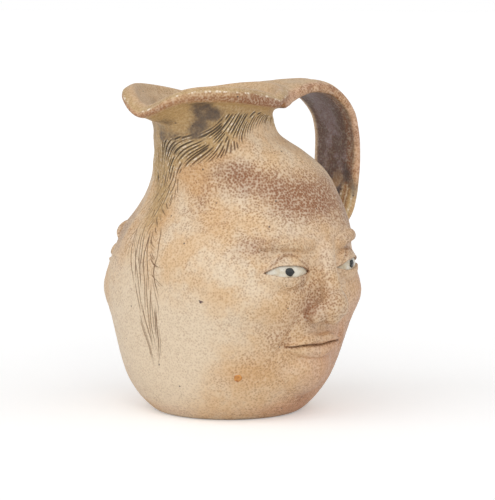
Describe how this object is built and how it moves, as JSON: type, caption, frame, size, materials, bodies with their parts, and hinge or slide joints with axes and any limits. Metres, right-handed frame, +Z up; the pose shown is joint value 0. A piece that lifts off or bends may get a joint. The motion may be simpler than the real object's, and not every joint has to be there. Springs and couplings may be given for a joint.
{
  "type": "face jug",
  "caption": "Squat stoneware jug squeezed into a two-faced head, with a leaning neck, a wide lip drawn to a spout and a strap handle.",
  "frame": {"origin": "centre of the foot, on the surface the jug stands on", "axes": "+Z up; the front face looks along -Y and the back face along +Y; the spout points along -X and the handle along +X"},
  "size_m": [0.1598, 0.155, 0.1732],
  "materials": {
    "flesh_glaze": "satin salt glaze, tan with brown orange-peel speckle",
    "neck_glaze": "satin salt glaze, olive brown with dark patches",
    "handle_glaze": "satin salt glaze, reddish brown",
    "white_slip": "glossy white slip under salt glaze",
    "dark_slip": "glossy black-green slip"
  },
  "bodies": {
    "root": {"thrown_body": "flesh_glaze", "neck_collar": "neck_glaze", "strap_handle": "handle_glaze", "front_nose": "flesh_glaze", "front_upper_lip": "flesh_glaze", "front_lower_lip": "flesh_glaze", "front_chin": "flesh_glaze", "front_left_eyeball": "white_slip", "front_left_pupil": "dark_slip", "front_left_upper_lid": "flesh_glaze", "front_left_lower_lid": "flesh_glaze", "front_left_brow": "flesh_glaze", "front_right_eyeball": "white_slip", "front_right_pupil": "dark_slip", "front_right_upper_lid": "flesh_glaze", "front_right_lower_lid": "flesh_glaze", "front_right_brow": "flesh_glaze", "back_nose": "flesh_glaze", "back_upper_lip": "flesh_glaze", "back_lower_lip": "flesh_glaze", "back_chin": "flesh_glaze", "back_left_eyeball": "white_slip", "back_left_pupil": "dark_slip", "back_left_upper_lid": "flesh_glaze", "back_left_lower_lid": "flesh_glaze", "back_left_brow": "flesh_glaze", "back_right_eyeball": "white_slip", "back_right_pupil": "dark_slip", "back_right_upper_lid": "flesh_glaze", "back_right_lower_lid": "flesh_glaze", "back_right_brow": "flesh_glaze"}
  },
  "joints": []
}
